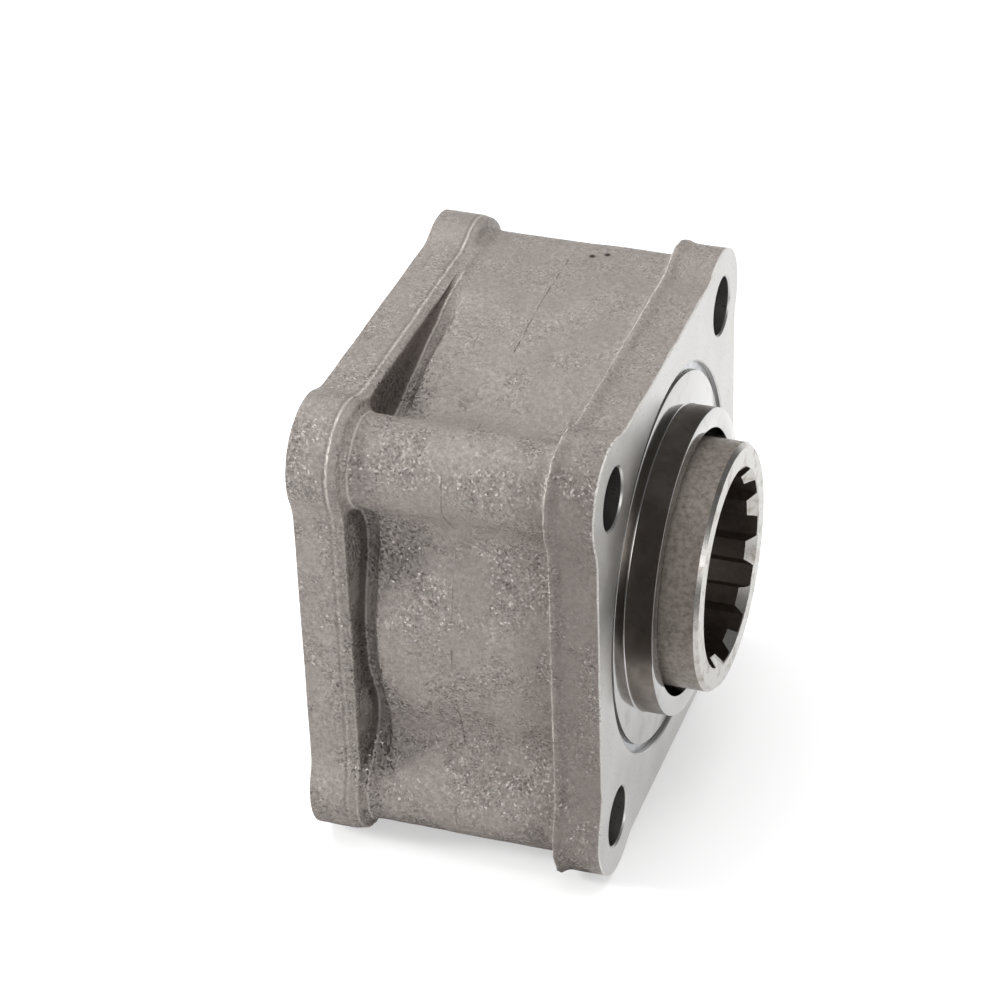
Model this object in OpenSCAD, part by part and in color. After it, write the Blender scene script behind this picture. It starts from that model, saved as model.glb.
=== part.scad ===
// Power take off unit: a cast housing with a bolt flange at each end.
// A splined hub turns in it on two ball bearings.
// The shaft axis is X and +X points out of the machined front face.
// The origin is on the shaft axis at that face, and +Z is up.
// It lies on the bottom corner bosses of its two flanges.
// All diameters follow from the bolt spacing, inwards through named walls and steps.

/* [Bolt flanges] */
// Distance between bolt hole centres, the same both ways
bolt_spacing = 80; // [78:1:90]
// Diameter of the bolt holes that run from flange to flange
bolt_hole_d = 13; // [10:0.5:14]
// Distance from the rear face to the front face
body_l = 65; // [62:1:90]
// Distance from a bolt hole centre to the flat side of the flange
flange_margin = 10.5; // [9:0.5:12]
// Radius of the round corner bosses
boss_r = 12.9; // [12:0.1:16]
// Radius of the hollow that blends a boss into the flat side
boss_blend_r = 12; // [6:1:20]
// Thickness of the front flange
front_flange_t = 10; // [7:0.5:14]
// Thickness of the rear flange
rear_flange_t = 11; // [8:0.5:14]
// Width of the stepped rim on the inner edge of the rear flange
rim_w = 2.2; // [1:0.2:4]
// How far that rim lies below the flange sides
rim_step = 0.4; // [0.2:0.1:0.8]
// Width of the break at the edge of each bolt hole
hole_break = 0.4; // [0.2:0.1:1]

/* [Cast body] */
// How far the barrel stands out past the line between two bolt holes
barrel_rise = 8; // [6:0.5:9]
// Depth of the groove beside the rear flange, below the barrel
neck_depth = 4.5; // [3:0.5:5.5]
// Width of that groove
neck_w = 4.5; // [3:0.5:8]
// Radius of the four columns round the bolt holes
column_r = 9.9; // [9:0.1:12]
// Radius of the hollows between the columns and the barrel
valley_r = 12; // [8:1:16]
// How far the web of the far top corner reaches from the bolt line
web_reach = 25; // [15:1:30]
// Thickness of the casting flash behind the front flange
flash_t = 0.7; // [0.4:0.1:1.5]
// Height of that flash
flash_h = 0.6; // [0.3:0.1:1]
// Thickness of the seam that runs round in the groove
seam_t = 0.8; // [0.5:0.1:1.5]
// Height of that seam above the groove floor
seam_h = 1.2; // [0.5:0.1:2]
// Height of the broken piece of flash on the near bottom boss
burr_h = 1.6; // [0.8:0.2:2]

/* [Pilot ring] */
// Wall of the barrel outside the front recess
recess_wall = 5.5; // [4:0.5:8]
// Gap between the recess wall and the ring face, where the snap ring shows
snap_gap = 1.9; // [1.5:0.1:2.5]
// How far the ring face reaches past the front bearing
ring_lip = 0.6; // [0.4:0.1:1]
// How far the ring face lies below the front face
ring_face_depth = 0.3; // [0.2:0.1:0.8]
// Wall of the spigot that centres the driven part
pilot_wall = 4.3; // [3:0.1:6]
// How far the spigot stands out of the front face
pilot_l = 5.8; // [4:0.2:8]
// Gap between the hub and the hole in the spigot
pilot_gap = 2.1; // [1.5:0.1:3]
// Thickness of the pilot ring under the snap ring
ring_flange_t = 2.5; // [2:0.1:3.5]
// Thickness of the snap ring
snap_t = 1.7; // [1.2:0.1:2]
// Depth of the snap ring's groove in the recess wall
snap_groove_depth = 1.1; // [0.8:0.1:1.5]
// How far the snap ring lies below the front face
snap_set = 1.3; // [0.8:0.1:2]
// Thickness of the O-ring cord
o_ring_d = 1.8; // [1.5:0.1:2]
// Thickness of the shim between pilot ring and front bearing
shim_t = 0.5; // [0.3:0.1:1]

/* [Bearings] */
// Radial height of the front bearing, from bore to outside
front_section = 15; // [12:0.5:17]
// Width of the front bearing
front_w = 16; // [14:0.5:18]
// Number of balls in the front bearing
front_balls_n = 14; // [10:1:15]
// Radial height of the rear bearing
rear_section = 11; // [9:0.5:13]
// Width of the rear bearing
rear_w = 12; // [11:0.5:14]
// Number of balls in the rear bearing
rear_balls_n = 16; // [12:1:18]
// Ball diameter as a share of the radial height of the bearing
ball_share = 0.59; // [0.5:0.01:0.62]

/* [Hub] */
// Height of the hub's shoulder behind which the front bearing sits
journal_step = 2; // [1.5:0.1:3]
// How far the hub stands out of the front face
hub_out = 13.6; // [12:0.1:20]
// Number of spline teeth in the bore
spline_teeth = 12; // [11:1:14]
// Metal between the spline's pitch circle and the bearing seats
spline_wall = 4; // [3.4:0.1:6]
// Pressure angle of the spline
spline_angle = 30; // [20:1:30]
// Height of a spline tooth as a share of the module
tooth_share = 0.54; // [0.4:0.01:0.6]
// How far the tooth spaces reach outside the pitch circle, as a share of the module
root_share = 0.23; // [0.1:0.01:0.26]
// Width of the break on the outer edge of the hub's front end
hub_edge = 0.9; // [0.4:0.1:1.5]
// Extra radius of the mouth cone outside the tooth spaces
mouth_extra = 0.2; // [0.1:0.1:0.6]

/* [Seal and rear end] */
// Wall of the pilot ring outside the oil seal
seal_wall = 4; // [3.5:0.1:5]
// Width of the oil seal
seal_w = 7.8; // [7:0.1:8]
// Sheet thickness of the seal's steel case
seal_case_t = 1.2; // [0.8:0.1:1.5]
// Ledge between the rear bearing seat and the locating recess
rear_ledge = 4; // [2.5:0.5:5]
// Depth of the locating recess in the rear face
rear_recess_l = 5; // [3:0.5:5.5]
// Thickness of the circlip in the rear bore
bore_clip_t = 2.5; // [2:0.1:2.6]
// Depth of that circlip's groove
bore_clip_groove = 1.5; // [1:0.1:2]
// Wall between that groove and the rear recess
clip_lip = 2.4; // [1.5:0.1:4]
// Thickness of the circlip on the hub
hub_clip_t = 2; // [1.5:0.1:2]
// Depth of that circlip's groove
hub_clip_groove = 1.3; // [0.8:0.1:1.5]

/* [Hidden] */
$fn = 96;

// Clearances: slack of a seat, radial gap of a running fit, play along the axis
slack = 0.05;
running = 0.05;
play = 0.1;
// A cut starts this far outside the metal
over = 1;
// Curves that would only touch overlap by this much, so that they cross cleanly
bite = 0.02;

// Radii, from the bolt holes inwards
corner = bolt_spacing / 2;
side = corner + flange_margin;
barrel_r = corner + barrel_rise;
neck_r = barrel_r - neck_depth;
recess_r = barrel_r - recess_wall;
ring_face_r = recess_r - snap_gap;
front_r = ring_face_r - ring_lip;
seal_r = front_r - seal_wall;
journal_r = front_r - front_section;
hub_r = journal_r + journal_step;
pilot_bore_r = hub_r + pilot_gap;
pilot_r = pilot_bore_r + pilot_wall;
rear_r = journal_r + rear_section;
rear_recess_r = rear_r + rear_ledge;

// Places along the axis, from the front face to the rear face
seal_web = 2;
snap_x = -snap_set - snap_t;
ring_seat_x = snap_x - ring_flange_t;
seal_front_x = -ring_face_depth - seal_web;
spigot_end_x = seal_front_x - seal_w - 2 * play;
front_x = spigot_end_x - shim_t;
shoulder_x = front_x - front_w;
rear_x = -body_l;
flange_top_x = rear_x + rear_flange_t;
floor_x = rear_x + rear_recess_l;
bore_clip_x = floor_x + clip_lip;
rear_bearing_x = bore_clip_x + bore_clip_t;
rear_bearing_top = rear_bearing_x + rear_w;
hub_clip_x = rear_bearing_x - hub_clip_t;

// A part turned about the X axis from its half section of [radius, x] points
module turned(points)
    rotate([0, 90, 0]) rotate_extrude() polygon(points);

// A plain ring between two radii and two places on the axis
module ring(r_in, r_out, x_from, x_to)
    turned([[r_in, x_from], [r_out, x_from], [r_out, x_to], [r_in, x_to]]);

// A ring whose four edges are broken by a small chamfer
module soft_ring(r_in, r_out, x_from, x_to, edge)
    turned([
        [r_in + edge, x_from], [r_out - edge, x_from], [r_out, x_from + edge], [r_out, x_to - edge],
        [r_out - edge, x_to], [r_in + edge, x_to], [r_in, x_to - edge], [r_in, x_from + edge]
    ]);

// A round bar or hole along X, centred on the shaft axis
module disc(r, x_from, x_to)
    translate([x_from, 0, 0]) rotate([0, 90, 0]) cylinder(r = r, h = x_to - x_from);

// A slab along X whose outline is drawn in the Y and Z plane
module slab(x_from, x_to)
    translate([x_from, 0, 0]) rotate([90, 0, 90]) linear_extrude(x_to - x_from) children();

// The same shape at each of the four corners
module at_corners()
    for (turn = [0 : 90 : 270]) rotate(turn) children();

// The same shape and its mirror image across a corner's diagonal
module both_sides() {
    children();
    mirror([1, -1]) children();
}

// Blend between a corner boss and the flat side: the corner between them less a circle
module boss_blend(boss, edge) {
    centre_y = edge + boss_blend_r;
    span = sqrt(pow(boss + boss_blend_r, 2) - pow(centre_y - corner, 2));
    difference() {
        polygon([[corner - span, edge - over], [corner - span, centre_y], [corner, corner]]);
        translate([corner - span, centre_y]) circle(boss_blend_r + bite);
    }
}

// Outline of a flange, with its sides moved inwards by inset
module flange_outline(inset = 0) {
    edge = side - inset;
    boss = boss_r - inset;
    intersection() {
        square(2 * edge, center = true);
        circle(norm([corner, corner]) + boss);
    }
    at_corners() {
        translate([corner, corner]) circle(boss);
        both_sides() boss_blend(boss, edge);
    }
}

// Hollow between the barrel and a column, tangent to both and moved outwards by grow
module valley_blend(body_r, grow) {
    far = body_r + valley_r;
    near = column_r + valley_r;
    span = norm([corner, corner]);
    angle = 45 + acos((far * far + span * span - near * near) / (2 * far * span));
    centre = far * [cos(angle), sin(angle)];
    difference() {
        polygon([[0, 0], [corner, corner], centre]);
        translate(centre) circle(valley_r - grow + bite);
    }
}

// Web that fills the hollows beside the far top column
module corner_web(body_r, grow) {
    top = [corner - web_reach, corner + column_r + grow - slack];
    round_r = body_r + grow - bite;
    angle = atan2(top[1], top[0]) + acos(round_r / norm(top));
    both_sides()
        polygon([
            [0, 0], round_r * [cos(angle), sin(angle)], top, [corner, top[1]], [corner, corner]
        ]);
}

// Section of the casting between the flanges for a given barrel radius, moved outwards by grow
module body_outline(body_r, grow = 0) {
    circle(body_r + grow);
    at_corners() {
        translate([corner, corner]) circle(column_r + grow);
        both_sides() valley_blend(body_r, grow);
    }
    corner_web(body_r, grow);
}

// Broken piece of flash that hangs on the near bottom boss
module burr() {
    reach = boss_r + burr_h;
    notch = 0.6;
    first = 218;
    step = 8;
    slab(-front_flange_t - flash_t, -front_flange_t)
        translate([-corner, -corner])
            polygon(concat([[0, 0]], [for (i = [0 : 3])
                (reach - notch * (i % 2)) * [cos(first + i * step), sin(first + i * step)]]));
}

// Seam of the mould that runs round in the groove beside the rear flange
module groove_seam() {
    seam_set = 0.6;
    on_column = 0.4;
    slab(flange_top_x + seam_set, flange_top_x + seam_set + seam_t)
        body_outline(neck_r + seam_h - on_column, on_column);
}

// The casting with everything that is machined into it
module housing() {
    difference() {
        color("dimgray") union() {
            slab(-front_flange_t, 0) flange_outline();
            slab(-front_flange_t - flash_t, -front_flange_t + over) flange_outline(-flash_h);
            slab(rear_x, flange_top_x - rim_w) flange_outline();
            slab(rear_x, flange_top_x) flange_outline(rim_step);
            slab(rear_x + over, -over) body_outline(neck_r);
            slab(flange_top_x + neck_w, -over) body_outline(barrel_r);
            groove_seam();
            burr();
        }
        color("lightgray") {
            turned([
                [0, over], [recess_r, over], [recess_r, ring_seat_x - play],
                [front_r + slack, ring_seat_x - play], [front_r + slack, shoulder_x],
                [rear_r + slack, shoulder_x], [rear_r + slack, floor_x],
                [rear_recess_r, floor_x], [rear_recess_r, rear_x - over], [0, rear_x - over]
            ]);
            disc(recess_r + snap_groove_depth, snap_x - slack, -snap_set + slack);
            disc(rear_r + bore_clip_groove, bore_clip_x - slack, bore_clip_x + bore_clip_t);
            at_corners_x() bolt_hole();
        }
    }
}

// The same shape at the four bolt holes
module at_corners_x()
    for (y = [-corner, corner], z = [-corner, corner]) translate([0, y, z]) children();

// One bolt hole with a broken edge at each face
module bolt_hole() {
    r = bolt_hole_d / 2;
    turned([
        [0, over], [r + hole_break + over, over], [r, -hole_break], [r, rear_x + hole_break],
        [r + hole_break + over, rear_x - over], [0, rear_x - over]
    ]);
}

// Turned ring that closes the front: spigot, flat face, flange and the seat of the seal
module pilot_ring() {
    edge = 0.5;
    neck = 0.4;
    spigot_r = front_r - slack;
    groove_r = front_r - o_ring_d * 0.85;
    groove_from = (spigot_end_x + ring_seat_x - o_ring_d) / 2 - play;
    groove_to = (spigot_end_x + ring_seat_x + o_ring_d) / 2 + play;
    color("silver") turned([
        [pilot_bore_r, pilot_l - edge], [pilot_bore_r + edge, pilot_l],
        [pilot_r - edge, pilot_l], [pilot_r, pilot_l - edge],
        [pilot_r, neck - ring_face_depth], [pilot_r + neck, -ring_face_depth],
        [ring_face_r - edge, -ring_face_depth], [ring_face_r, -ring_face_depth - edge],
        [ring_face_r, snap_x], [recess_r - slack, snap_x],
        [recess_r - slack, ring_seat_x], [spigot_r, ring_seat_x],
        [spigot_r, groove_to], [groove_r, groove_to], [groove_r, groove_from],
        [spigot_r, groove_from], [spigot_r, spigot_end_x], [seal_r, spigot_end_x],
        [seal_r, seal_front_x], [pilot_bore_r, seal_front_x]
    ]);
}

// Open spring ring in the gap round the pilot ring
module snap_ring() {
    r_in = ring_face_r + play;
    r_out = recess_r + snap_groove_depth - play;
    opening = 5;
    color("darkgray") difference() {
        ring(r_in, r_out, snap_x, snap_x + snap_t);
        rotate([45, 0, 0]) translate([snap_x - over, -opening / 2, 0])
            cube([snap_t + 2 * over, opening, r_out + over]);
    }
}

// O-ring in the groove of the pilot ring
module cover_o_ring() {
    cord_r = o_ring_d / 2;
    middle_x = (spigot_end_x + ring_seat_x) / 2;
    groove_r = front_r - o_ring_d * 0.85;
    color("black") rotate([0, 90, 0]) rotate_extrude()
        intersection() {
            translate([groove_r + cord_r, middle_x]) circle(cord_r, $fn = 32);
            translate([groove_r, middle_x - o_ring_d]) square([front_r - groove_r, 2 * o_ring_d]);
        }
}

// Thin shim that sets the play of the front bearing
module shim_ring()
    color("gainsboro") ring(seal_r + play, front_r - slack, front_x, spigot_end_x);

// Radii of the seal's rubber: its root on the case, the back of its arm, the spring's seat
seal_root_r = hub_r + 3.4;
seal_back_r = hub_r + 2.6;
seal_seat_r = hub_r + 1.5;
lip_x = seal_front_x - seal_w * 0.62;
spring_wire_r = 0.7;
spring_x = lip_x - 0.15;

// Pressed steel case of the oil seal: an L of sheet
module seal_case() {
    wall_r = seal_r - seal_case_t;
    color("slategray") turned([
        [seal_r, seal_front_x], [seal_r, seal_front_x - seal_w],
        [wall_r, seal_front_x - seal_w], [wall_r, seal_front_x - seal_case_t],
        [seal_root_r, seal_front_x - seal_case_t], [seal_root_r, seal_front_x]
    ]);
}

// Rubber lip of the oil seal, which runs on the hub
module seal_lip() {
    web_x = seal_front_x - seal_case_t;
    root_t = 1;
    guard = 1.4;
    seat_half = spring_wire_r + 0.2;
    tail_r = hub_r + 0.9;
    color("black") turned([
        [seal_r - seal_case_t, web_x], [seal_r - seal_case_t, web_x - root_t],
        [seal_root_r, web_x - root_t], [seal_back_r, spring_x + 1.5 * seat_half],
        [seal_seat_r, spring_x + seat_half], [seal_seat_r, spring_x - seat_half],
        [seal_back_r, spring_x - 1.5 * seat_half], [tail_r, spring_x - 2.5 * seat_half],
        [hub_r + running, lip_x], [hub_r + guard, web_x], [hub_r + guard, seal_front_x],
        [seal_root_r, seal_front_x], [seal_root_r, web_x]
    ]);
}

// Garter spring that holds the lip on the hub
module seal_spring()
    color("silver") rotate([0, 90, 0]) rotate_extrude()
        translate([seal_seat_r + spring_wire_r, spring_x]) circle(spring_wire_r, $fn = 24);

// Involute of the spline's base circle: the angle at which a flank stands at radius r
function involute(angle) = tan(angle) * 180 / PI - angle;
function flank_angle(r) =
    90 / spline_teeth + involute(spline_angle) - involute(acos(spline_base_r / r));
spline_pitch_r = journal_r - spline_wall;
spline_module = 2 * spline_pitch_r / spline_teeth;
spline_base_r = spline_pitch_r * cos(spline_angle);
spline_major_r = spline_pitch_r + root_share * spline_module;
spline_minor_r = spline_major_r - tooth_share * spline_module;
flank_steps = 4;

// One tooth space: from the bore out along one involute flank and back along the other
module tooth_space() {
    inner = spline_minor_r - 0.1 * spline_module;
    radii = [for (i = [0 : flank_steps]) inner + (spline_major_r - inner) * i / flank_steps];
    flank = [for (r = radii) r * [cos(flank_angle(r)), sin(flank_angle(r))]];
    polygon(concat(
        [[0, 0]],
        [for (point = flank) [point[0], -point[1]]],
        [for (i = [flank_steps : -1 : 0]) flank[i]]
    ));
}

// Bore of the hub: the minor circle and a ring of tooth spaces
module spline_outline(phase) {
    circle(spline_minor_r);
    for (i = [0 : spline_teeth - 1]) rotate(phase + i * 360 / spline_teeth) tooth_space();
}

// Splined hub: a turned sleeve, broached from end to end
module output_hub() {
    mouth_r = spline_major_r + mouth_extra;
    mouth_l = mouth_r - spline_minor_r;
    end_edge = 0.5;
    phase = -38;
    groove_r = journal_r - hub_clip_groove;
    color("gray") difference() {
        turned([
            [0, floor_x], [journal_r - end_edge, floor_x], [journal_r, floor_x + end_edge],
            [journal_r, hub_clip_x - slack], [groove_r, hub_clip_x - slack],
            [groove_r, rear_bearing_x], [journal_r, rear_bearing_x],
            [journal_r, front_x], [hub_r, front_x],
            [hub_r, hub_out - hub_edge], [hub_r - hub_edge, hub_out], [0, hub_out]
        ]);
        slab(floor_x - over, hub_out + over) spline_outline(phase);
        turned([
            [0, hub_out + over], [mouth_r + over, hub_out + over],
            [spline_minor_r - over, hub_out - mouth_l - over], [0, hub_out - mouth_l - over]
        ]);
        turned([
            [0, floor_x - over], [mouth_r + over, floor_x - over],
            [spline_minor_r - over, floor_x + mouth_l + over], [0, floor_x + mouth_l + over]
        ]);
    }
}

// Sleeve between the inner races
module spacer_sleeve() {
    wall = 3.2;
    edge = 0.3;
    color("darkgray")
        soft_ring(journal_r + slack, journal_r + wall, rear_bearing_top, shoulder_x, edge);
}

// Race with a ball groove, drawn as its half section about the middle of the bearing
module race(r_in, r_out, x_from, width, pitch_r, ball_r) {
    groove_r = ball_r * 1.04;
    middle = x_from + width / 2;
    rotate([0, 90, 0]) rotate_extrude() difference() {
        translate([r_in, x_from]) square([r_out - r_in, width]);
        translate([pitch_r, middle]) circle(groove_r);
    }
}

// How far the shoulders of a race stay from the middle circle, as a share of the ball radius
shoulder_share = 0.67;

// Ring of balls, one solid each
module ball_ring(count, pitch_r, ball_r, middle)
    for (i = [0 : count - 1])
        translate([middle, 0, 0]) rotate([i * 360 / count, 0, 0]) translate([0, 0, pitch_r])
            sphere(ball_r, $fn = 32);

// Cage: a band with a round pocket for each ball
module cage(count, pitch_r, ball_r, middle) {
    band = 1;
    reach = ball_r * 1.35;
    pocket = ball_r + running + play;
    difference() {
        ring(pitch_r - band, pitch_r + band, middle - reach, middle + reach);
        for (i = [0 : count - 1])
            translate([middle, 0, 0]) rotate([i * 360 / count, 0, 0])
                translate([0, 0, pitch_r - 2 * band]) cylinder(r = pocket, h = 4 * band, $fn = 32);
    }
}

front_ball_r = ball_share * front_section / 2;
front_pitch_r = journal_r + front_section / 2;
front_middle = front_x - front_w / 2;
rear_ball_r = ball_share * rear_section / 2;
rear_pitch_r = journal_r + rear_section / 2;
rear_middle = rear_bearing_x + rear_w / 2;

module front_outer_race()
    color("silver") race(front_pitch_r + front_ball_r * shoulder_share, front_r, shoulder_x,
        front_w, front_pitch_r, front_ball_r);

module front_inner_race()
    color("silver") race(journal_r, front_pitch_r - front_ball_r * shoulder_share, shoulder_x,
        front_w, front_pitch_r, front_ball_r);

module front_balls()
    color("white") ball_ring(front_balls_n, front_pitch_r, front_ball_r, front_middle);

module front_cage()
    color("goldenrod") cage(front_balls_n, front_pitch_r, front_ball_r, front_middle);

module rear_outer_race()
    color("silver") race(rear_pitch_r + rear_ball_r * shoulder_share, rear_r, rear_bearing_x,
        rear_w, rear_pitch_r, rear_ball_r);

module rear_inner_race()
    color("silver") race(journal_r, rear_pitch_r - rear_ball_r * shoulder_share, rear_bearing_x,
        rear_w, rear_pitch_r, rear_ball_r);

module rear_balls()
    color("white") ball_ring(rear_balls_n, rear_pitch_r, rear_ball_r, rear_middle);

module rear_cage()
    color("goldenrod") cage(rear_balls_n, rear_pitch_r, rear_ball_r, rear_middle);

// Outline of a circlip: a band with an opening and two eyes for the pliers
module clip_outline(r_in, r_out, eye_r, eye_side) {
    opening = 14;
    hole_r = eye_r / 2;
    difference() {
        circle(r_out);
        circle(r_in);
        polygon([[0, 0], 2 * r_out * [sin(opening), cos(opening)], 2 * r_out * [-sin(opening), cos(opening)]]);
    }
    for (turn = [-opening, opening]) rotate(turn)
        difference() {
            translate([0, eye_side]) circle(eye_r);
            translate([0, eye_side]) circle(hole_r);
        }
}

// Circlip that holds the rear bearing in the housing
module bore_circlip() {
    band = 3.4;
    eye_r = 2.6;
    r_out = rear_r + bore_clip_groove - play;
    r_in = r_out - band;
    color("dimgray") slab(bore_clip_x, bore_clip_x + bore_clip_t - slack)
        clip_outline(r_in, r_out, eye_r, r_out - eye_r - bore_clip_groove);
}

// Circlip that holds the rear bearing on the hub
module hub_circlip() {
    band = 3.6;
    eye_r = 2.3;
    r_in = journal_r - hub_clip_groove + play;
    r_out = r_in + band;
    color("dimgray") slab(hub_clip_x, rear_bearing_x - slack)
        clip_outline(r_in, r_out, eye_r, journal_r + eye_r + slack);
}

housing();
pilot_ring();
snap_ring();
cover_o_ring();
shim_ring();
seal_case();
seal_lip();
seal_spring();
output_hub();
spacer_sleeve();
hub_circlip();
front_outer_race();
front_inner_race();
front_balls();
front_cage();
rear_outer_race();
rear_inner_race();
rear_balls();
rear_cage();
bore_circlip();
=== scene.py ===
# %% [markdown]
# # Power take off unit
# A cast-iron adapter block: it carries the drive from a gearbox to a hydraulic pump. Two square
# flanges are joined by four columns and a round bearing housing, and a splined steel hub turns in
# the middle on two ball bearings. The solids come from the CAD model. This script dresses them:
# rounder castings, crisp machined edges, real finishes, a floor, a light and a camera.

import math

import bmesh
import bpy
from mathutils import Matrix, Vector, noise


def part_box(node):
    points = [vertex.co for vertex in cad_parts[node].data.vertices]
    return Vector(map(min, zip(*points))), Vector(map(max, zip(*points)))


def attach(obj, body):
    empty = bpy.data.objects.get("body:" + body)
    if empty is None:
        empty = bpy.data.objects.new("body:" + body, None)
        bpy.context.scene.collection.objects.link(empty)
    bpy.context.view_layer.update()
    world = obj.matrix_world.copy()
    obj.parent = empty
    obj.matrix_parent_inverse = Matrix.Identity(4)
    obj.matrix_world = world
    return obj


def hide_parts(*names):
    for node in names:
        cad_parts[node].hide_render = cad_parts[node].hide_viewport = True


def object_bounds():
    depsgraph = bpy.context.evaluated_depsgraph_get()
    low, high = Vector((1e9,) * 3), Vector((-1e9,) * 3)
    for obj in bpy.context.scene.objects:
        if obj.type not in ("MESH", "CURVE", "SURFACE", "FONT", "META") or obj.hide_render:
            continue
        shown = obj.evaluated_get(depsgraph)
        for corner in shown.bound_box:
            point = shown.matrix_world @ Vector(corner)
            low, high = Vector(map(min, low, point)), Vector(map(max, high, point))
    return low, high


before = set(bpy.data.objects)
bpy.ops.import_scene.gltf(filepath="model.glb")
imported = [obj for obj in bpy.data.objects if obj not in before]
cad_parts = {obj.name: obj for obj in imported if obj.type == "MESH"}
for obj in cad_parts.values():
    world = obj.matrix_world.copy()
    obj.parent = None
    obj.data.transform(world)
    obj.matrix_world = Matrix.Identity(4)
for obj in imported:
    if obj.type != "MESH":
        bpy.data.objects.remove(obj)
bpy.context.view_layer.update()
MM = 0.001
print("solids:", sorted(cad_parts))

# %% [markdown]
# ## Sizes
# Blender works in metres, but a machinist thinks in millimetres, so sizes are written in
# millimetres and multiplied by MM where they meet Blender. The shaft axis is X, and the machined
# front face is at x = 0. The places of the pieces are read from the CAD solids where possible, so
# that the dressed part stays on the model.

# %% Sizes in millimetres
CORNER = 40
REAR = -65
BOLT_R = 6.5
RECESS_R = 42.5
FRONT_BORE_R = 40.05
REAR_BORE_R = 36.05
REAR_OPENING_R = 40
JOURNAL_R = 25
CLIP_PLAY = 0.05


def reach(node):
    """Lowest and highest x of a CAD solid, and its outer radius, in millimetres."""
    low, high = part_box(node)
    return low[0] / MM, high[0] / MM, high[1] / MM


for name in ("pilot_ring", "output_hub", "front_outer_race"):
    print(name, [round(value, 2) for value in reach(name)])

# %% [markdown]
# ## Camera
# The photograph was taken with a long lens from the right of the near side, looking down at about
# a third of a right angle. The camera's three directions are worked out from its bearing, its tilt
# and a small roll, and become the columns of its matrix. A long lens matters: a short one would
# make the near corner look much bigger than the far one.

# %% Camera
BEARING = math.radians(19.92)
TILT = math.radians(33.08)
ROLL = math.radians(-2.11)
CAMERA_AT = Vector((169.8, -574.51, 405.86))
LENS = 121.35

level_right = Vector((math.cos(BEARING), math.sin(BEARING), 0))
level_ahead = Vector((-math.sin(BEARING), math.cos(BEARING), 0))
ahead = level_ahead * math.cos(TILT) - Vector((0, 0, math.sin(TILT)))
level_up = level_ahead * math.sin(TILT) + Vector((0, 0, math.cos(TILT)))
right = level_right * math.cos(ROLL) + level_up * math.sin(ROLL)
up = level_up * math.cos(ROLL) - level_right * math.sin(ROLL)

camera = bpy.data.objects.new("camera", bpy.data.cameras.new("camera"))
bpy.context.scene.collection.objects.link(camera)
camera.data.sensor_width = 36
camera.data.lens = LENS
camera.data.clip_start = 0.05
turn = Matrix((right, up, -ahead)).transposed().to_4x4()
camera.matrix_world = Matrix.Translation(CAMERA_AT * MM) @ turn
bpy.context.scene.camera = camera
bpy.context.scene.view_settings.view_transform = "Standard"
print("lens", camera.data.lens, "mm, distance", round(camera.location.length, 3), "m")

# %% [markdown]
# ## Nodes for materials
# Every finish below is a small tree of shader nodes. One function adds any node: it takes the
# node's type, its inputs by name or number, and its settings. An input that is given an output of
# another node is linked, and any other value is set on the socket itself. Colours are written as
# the hex values that a painter's program shows, so a second function turns them into the linear
# light that Blender counts in.

# %% Node and colour helpers
def add_node(tree, kind, inputs=None, **settings):
    """Add one shader node, set it up and link its inputs."""
    node = tree.nodes.new(kind)
    for key, value in settings.items():
        setattr(node, key, value)
    for key, value in (inputs or {}).items():
        if isinstance(value, bpy.types.NodeSocket):
            tree.links.new(value, node.inputs[key])
        else:
            node.inputs[key].default_value = value
    return node


def colour(code):
    """Linear colour of an sRGB hex value."""
    channels = [int(code[i:i + 2], 16) / 255 for i in (1, 3, 5)]
    linear = [c / 12.92 if c <= 0.04045 else ((c + 0.055) / 1.055) ** 2.4 for c in channels]
    return (*linear, 1)


def per_metre(size):
    """Scale of a pattern whose marks are this many millimetres apart."""
    return 1 / (size * MM)


def new_material(name):
    """An empty material: its tree, its shader and its Object coordinates."""
    material = bpy.data.materials.new(name)
    material.use_nodes = True
    tree = material.node_tree
    tree.nodes.clear()
    shader = add_node(tree, "ShaderNodeBsdfPrincipled")
    add_node(tree, "ShaderNodeOutputMaterial", {"Surface": shader.outputs[0]})
    place = add_node(tree, "ShaderNodeTexCoord").outputs["Object"]
    return material, tree, shader, place


print("mid grey in linear light:", round(colour("#808080")[0], 3))

# %% [markdown]
# ## Patterns that several finishes share
# The same few steps come back in every finish. Speckle is plain noise at a given size, and spread
# turns a part of it into a share from 0 to 1. A blend of two colours follows such a share. Small
# sums combine shares. Fine height becomes a bump, which bends the light without moving the
# surface, so it costs no mesh.

# %% Shared patterns
def speckle(tree, place, size, detail=3.0, rough=0.55, distortion=0.0):
    """Noise whose blotches are about this many millimetres wide."""
    node = add_node(tree, "ShaderNodeTexNoise", {
        "Vector": place, "Scale": per_metre(size), "Detail": detail,
        "Roughness": rough, "Distortion": distortion})
    return node.outputs[0]


def spread(tree, value, low, high, to_low=0.0, to_high=1.0):
    """Stretch the part of a pattern between low and high over a new span."""
    return add_node(tree, "ShaderNodeMapRange", {
        0: value, 1: low, 2: high, 3: to_low, 4: to_high}).outputs[0]


def blend(tree, share, first, second):
    """Colour between two colours, by a share from 0 to 1."""
    return add_node(tree, "ShaderNodeMix", {0: share, 6: first, 7: second},
                    data_type="RGBA").outputs[2]


def compute(tree, operation, first, second=0.0, third=0.0):
    """One sum on single values."""
    return add_node(tree, "ShaderNodeMath", {0: first, 1: second, 2: third},
                    operation=operation).outputs[0]


def times(tree, first, second):
    """The product of two shares."""
    return compute(tree, "MULTIPLY", first, second)


def larger(tree, first, second):
    """The larger of two shares, which lays one pattern beside another."""
    return compute(tree, "MAXIMUM", first, second)


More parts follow.
